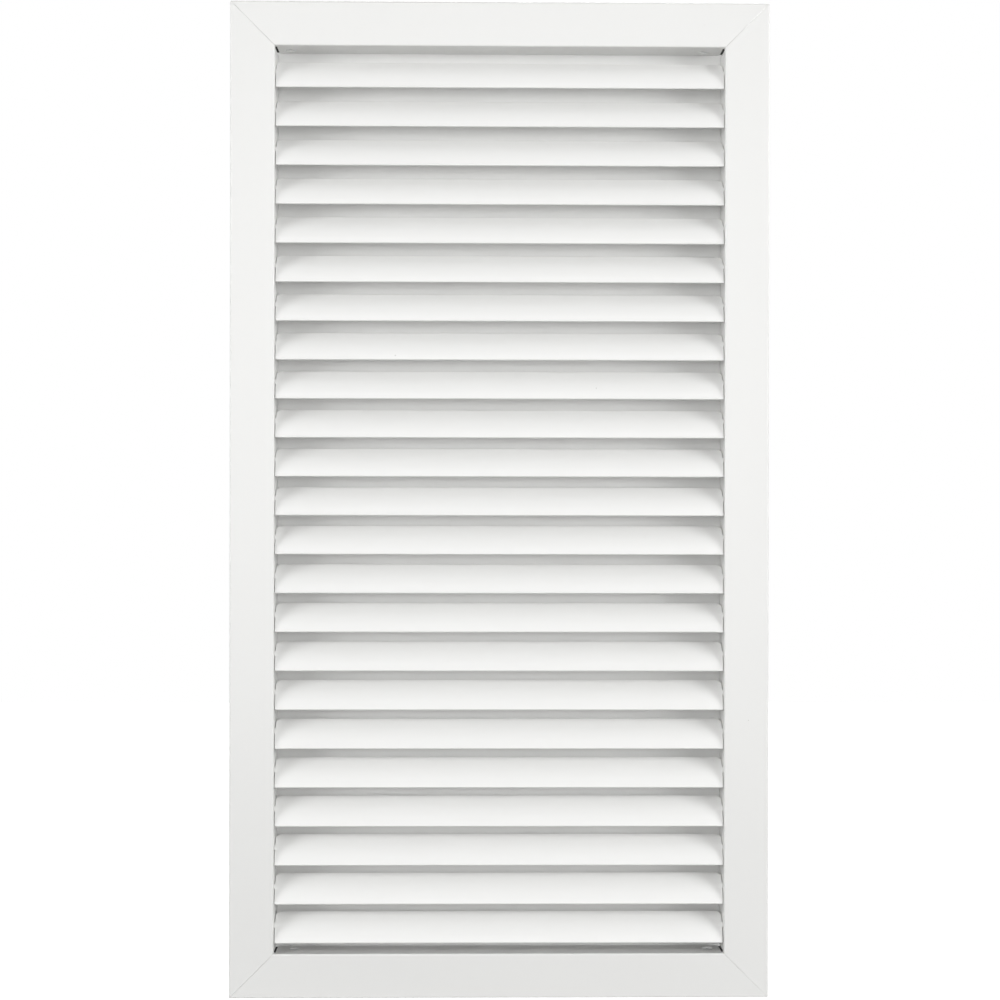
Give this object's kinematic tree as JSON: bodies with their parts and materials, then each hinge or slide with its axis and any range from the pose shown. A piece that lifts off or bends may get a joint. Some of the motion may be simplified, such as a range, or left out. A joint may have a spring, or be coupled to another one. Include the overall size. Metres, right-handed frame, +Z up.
{
  "type": "return air grille",
  "caption": "Rectangular return air grille with fixed sloping blades in a flat mitred border, and a short neck with fixing holes that goes into a wall opening.",
  "frame": {"origin": "centre of the opening, in the plane of the wall that the border lies on", "axes": "+X to the right seen from the room, +Y into the wall along the neck, +Z up. The border's front faces -Y."},
  "size_m": [0.352, 0.026, 0.65],
  "materials": {
    "frame_coat": "satin white powder coat on extruded aluminium",
    "blade_coat": "satin white powder coat on extruded aluminium",
    "key_metal": "bare stamped aluminium"
  },
  "bodies": {
    "root": {"frame_top": "frame_coat", "frame_bottom": "frame_coat", "frame_left": "frame_coat", "frame_right": "frame_coat", "corner_key_top_left": "key_metal", "corner_key_top_right": "key_metal", "corner_key_bottom_left": "key_metal", "corner_key_bottom_right": "key_metal", "blade_01": "blade_coat", "blade_02": "blade_coat", "blade_03": "blade_coat", "blade_04": "blade_coat", "blade_05": "blade_coat", "blade_06": "blade_coat", "blade_07": "blade_coat", "blade_08": "blade_coat", "blade_09": "blade_coat", "blade_10": "blade_coat", "blade_11": "blade_coat", "blade_12": "blade_coat", "blade_13": "blade_coat", "blade_14": "blade_coat", "blade_15": "blade_coat", "blade_16": "blade_coat", "blade_17": "blade_coat", "blade_18": "blade_coat", "blade_19": "blade_coat", "blade_20": "blade_coat", "blade_21": "blade_coat", "blade_22": "blade_coat", "blade_23": "blade_coat"}
  },
  "joints": []
}
